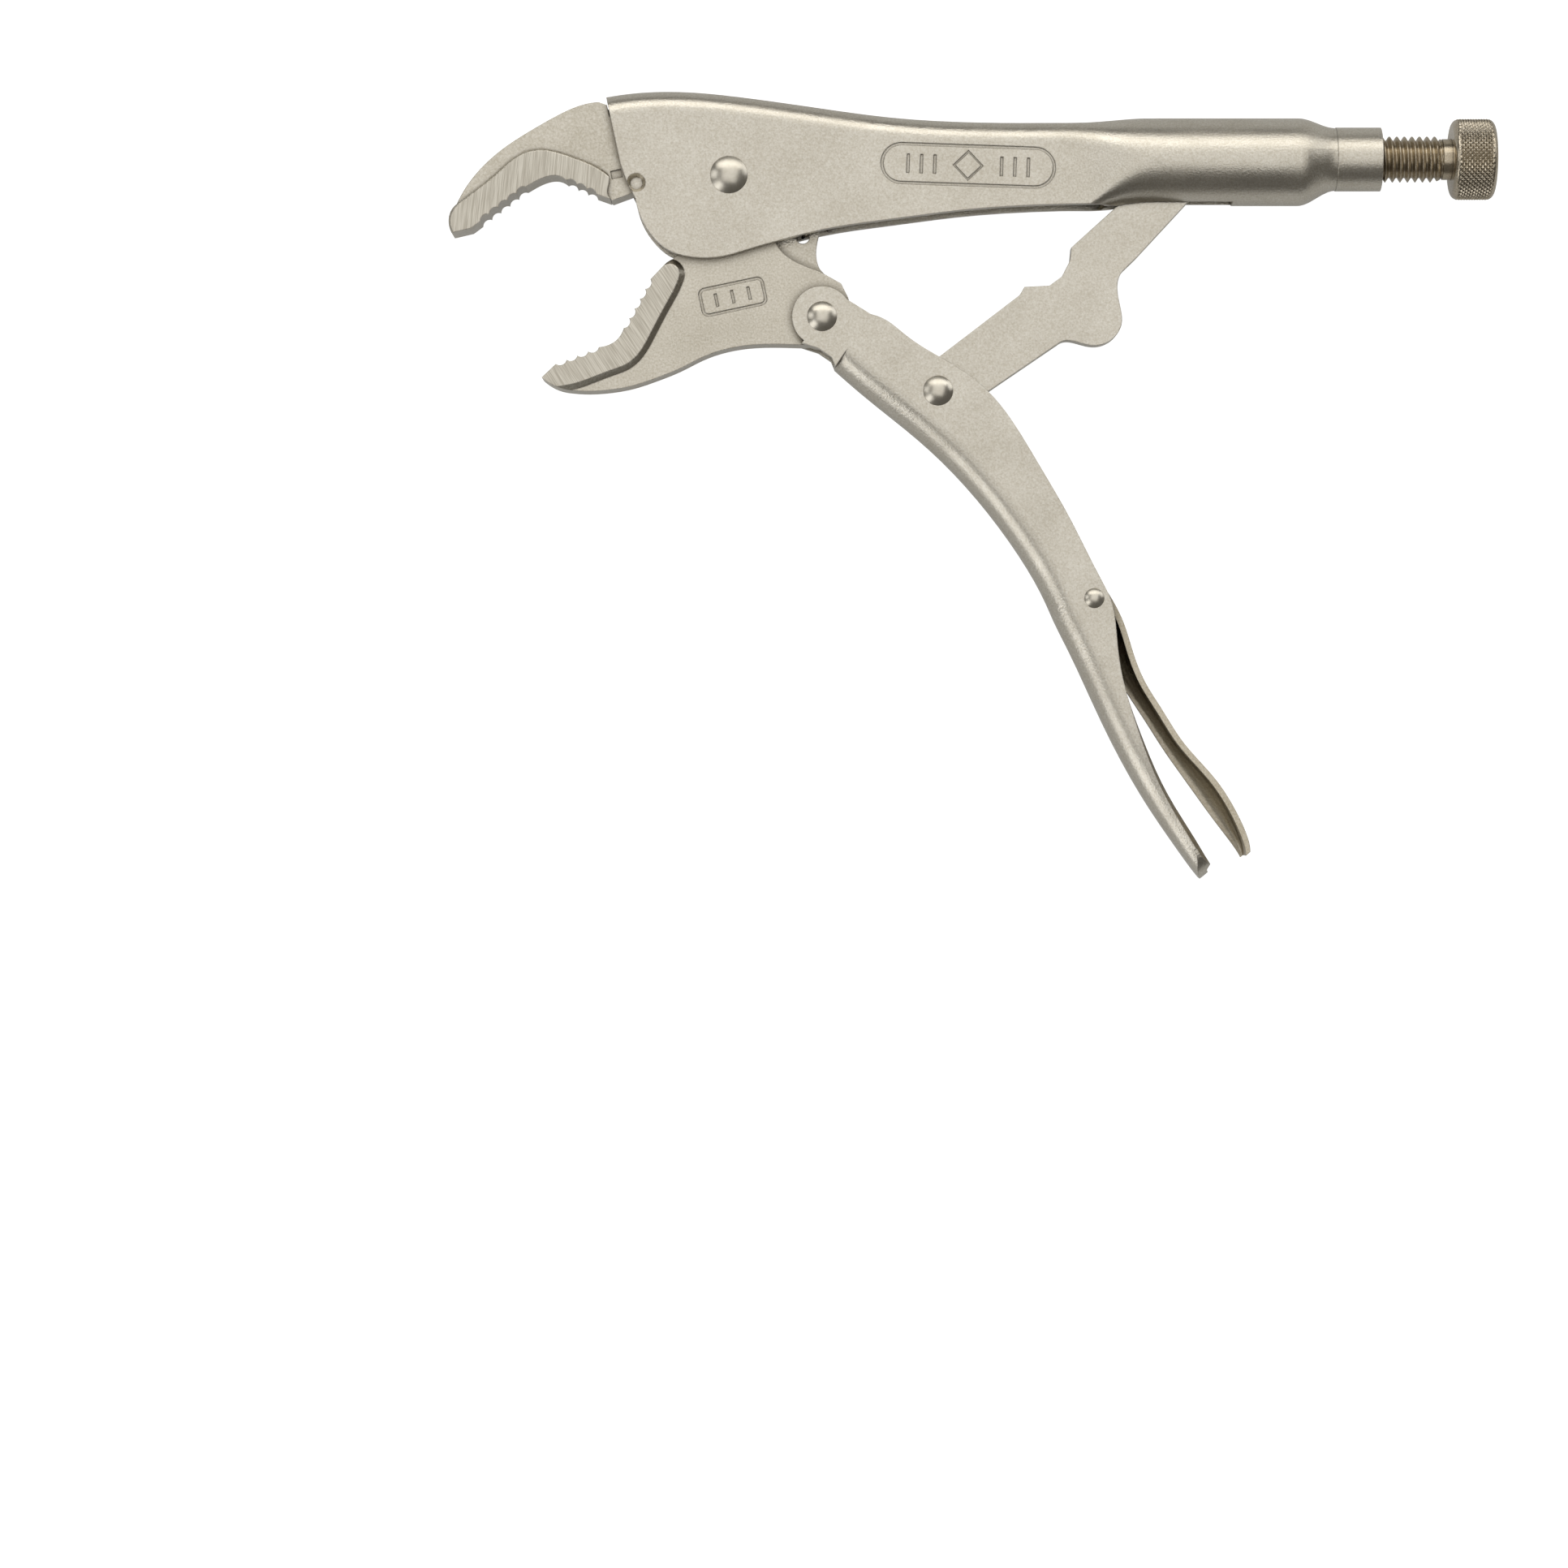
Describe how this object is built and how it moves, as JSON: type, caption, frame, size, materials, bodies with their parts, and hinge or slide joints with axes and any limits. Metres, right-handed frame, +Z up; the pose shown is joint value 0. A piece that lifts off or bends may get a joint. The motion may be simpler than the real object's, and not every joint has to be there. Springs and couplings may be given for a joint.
{
  "type": "locking pliers",
  "caption": "Curved-jaw locking pliers lying on one side, jaws fully open: pressed steel handles, over-centre link, adjusting screw with a knurled knob, return spring and release lever.",
  "frame": {"origin": "middle of the underside of the whole tool as it lies, halfway along its length and width", "axes": "+X along the fixed handle towards the adjusting knob, +Y from the lower handle towards the fixed handle, +Z up, along every pivot"},
  "size_m": [0.2514, 0.1892, 0.021],
  "materials": {
    "satin_nickel_sheet": "satin nickel plate on pressed steel",
    "satin_nickel_forging": "satin nickel plate on forged steel, teeth ground",
    "dark_nickel_screw": "darker nickel plate, rolled thread and knurl",
    "spring_steel": "plated spring wire",
    "bright_nickel_rivet": "polished nickel plate"
  },
  "bodies": {
    "fixed_side": {"fixed_handle": "satin_nickel_sheet", "upper_jaw": "satin_nickel_forging", "main_pivot_rivet": "bright_nickel_rivet", "return_spring": "spring_steel"},
    "moving_jaw": {"lower_jaw": "satin_nickel_forging"},
    "moving_handle": {"lower_handle": "satin_nickel_sheet", "jaw_handle_rivet": "bright_nickel_rivet", "link_rivet": "bright_nickel_rivet", "release_lever_rivet": "bright_nickel_rivet"},
    "link": {"toggle_link": "satin_nickel_sheet"},
    "lever": {"release_lever": "satin_nickel_sheet"},
    "screw": {"adjusting_screw": "dark_nickel_screw"}
  },
  "joints": [
    {"name": "jaw_hinge", "type": "hinge", "parent": "fixed_side", "child": "moving_jaw", "pos_m": [-0.05848, 0.07414, 0.01051], "axis": [0, 0, 1], "range_deg": [-26, 0], "deforming": ["return_spring"]},
    {"name": "handle_hinge", "type": "hinge", "parent": "moving_jaw", "child": "moving_handle", "pos_m": [-0.03618, 0.04024, 0.01051], "axis": [0, 0, 1], "range_deg": [0, 78]},
    {"name": "link_hinge", "type": "hinge", "parent": "moving_handle", "child": "link", "pos_m": [-0.00838, 0.02244, 0.01051], "axis": [0, 0, 1], "range_deg": [-71, 0]},
    {"name": "lever_hinge", "type": "hinge", "parent": "moving_handle", "child": "lever", "pos_m": [0.02902, -0.02726, 0.01051], "axis": [0, 0, 1], "range_deg": [-5, 0]},
    {"name": "screw_slide", "type": "slide", "parent": "fixed_side", "child": "screw", "axis": [1, 0, 0], "range_m": [0, 0.012]}
  ],
  "couplings": [
    {"joint": "jaw_hinge", "follows": "handle_hinge", "ratio": -0.33},
    {"joint": "link_hinge", "follows": "handle_hinge", "ratio": -0.9}
  ]
}
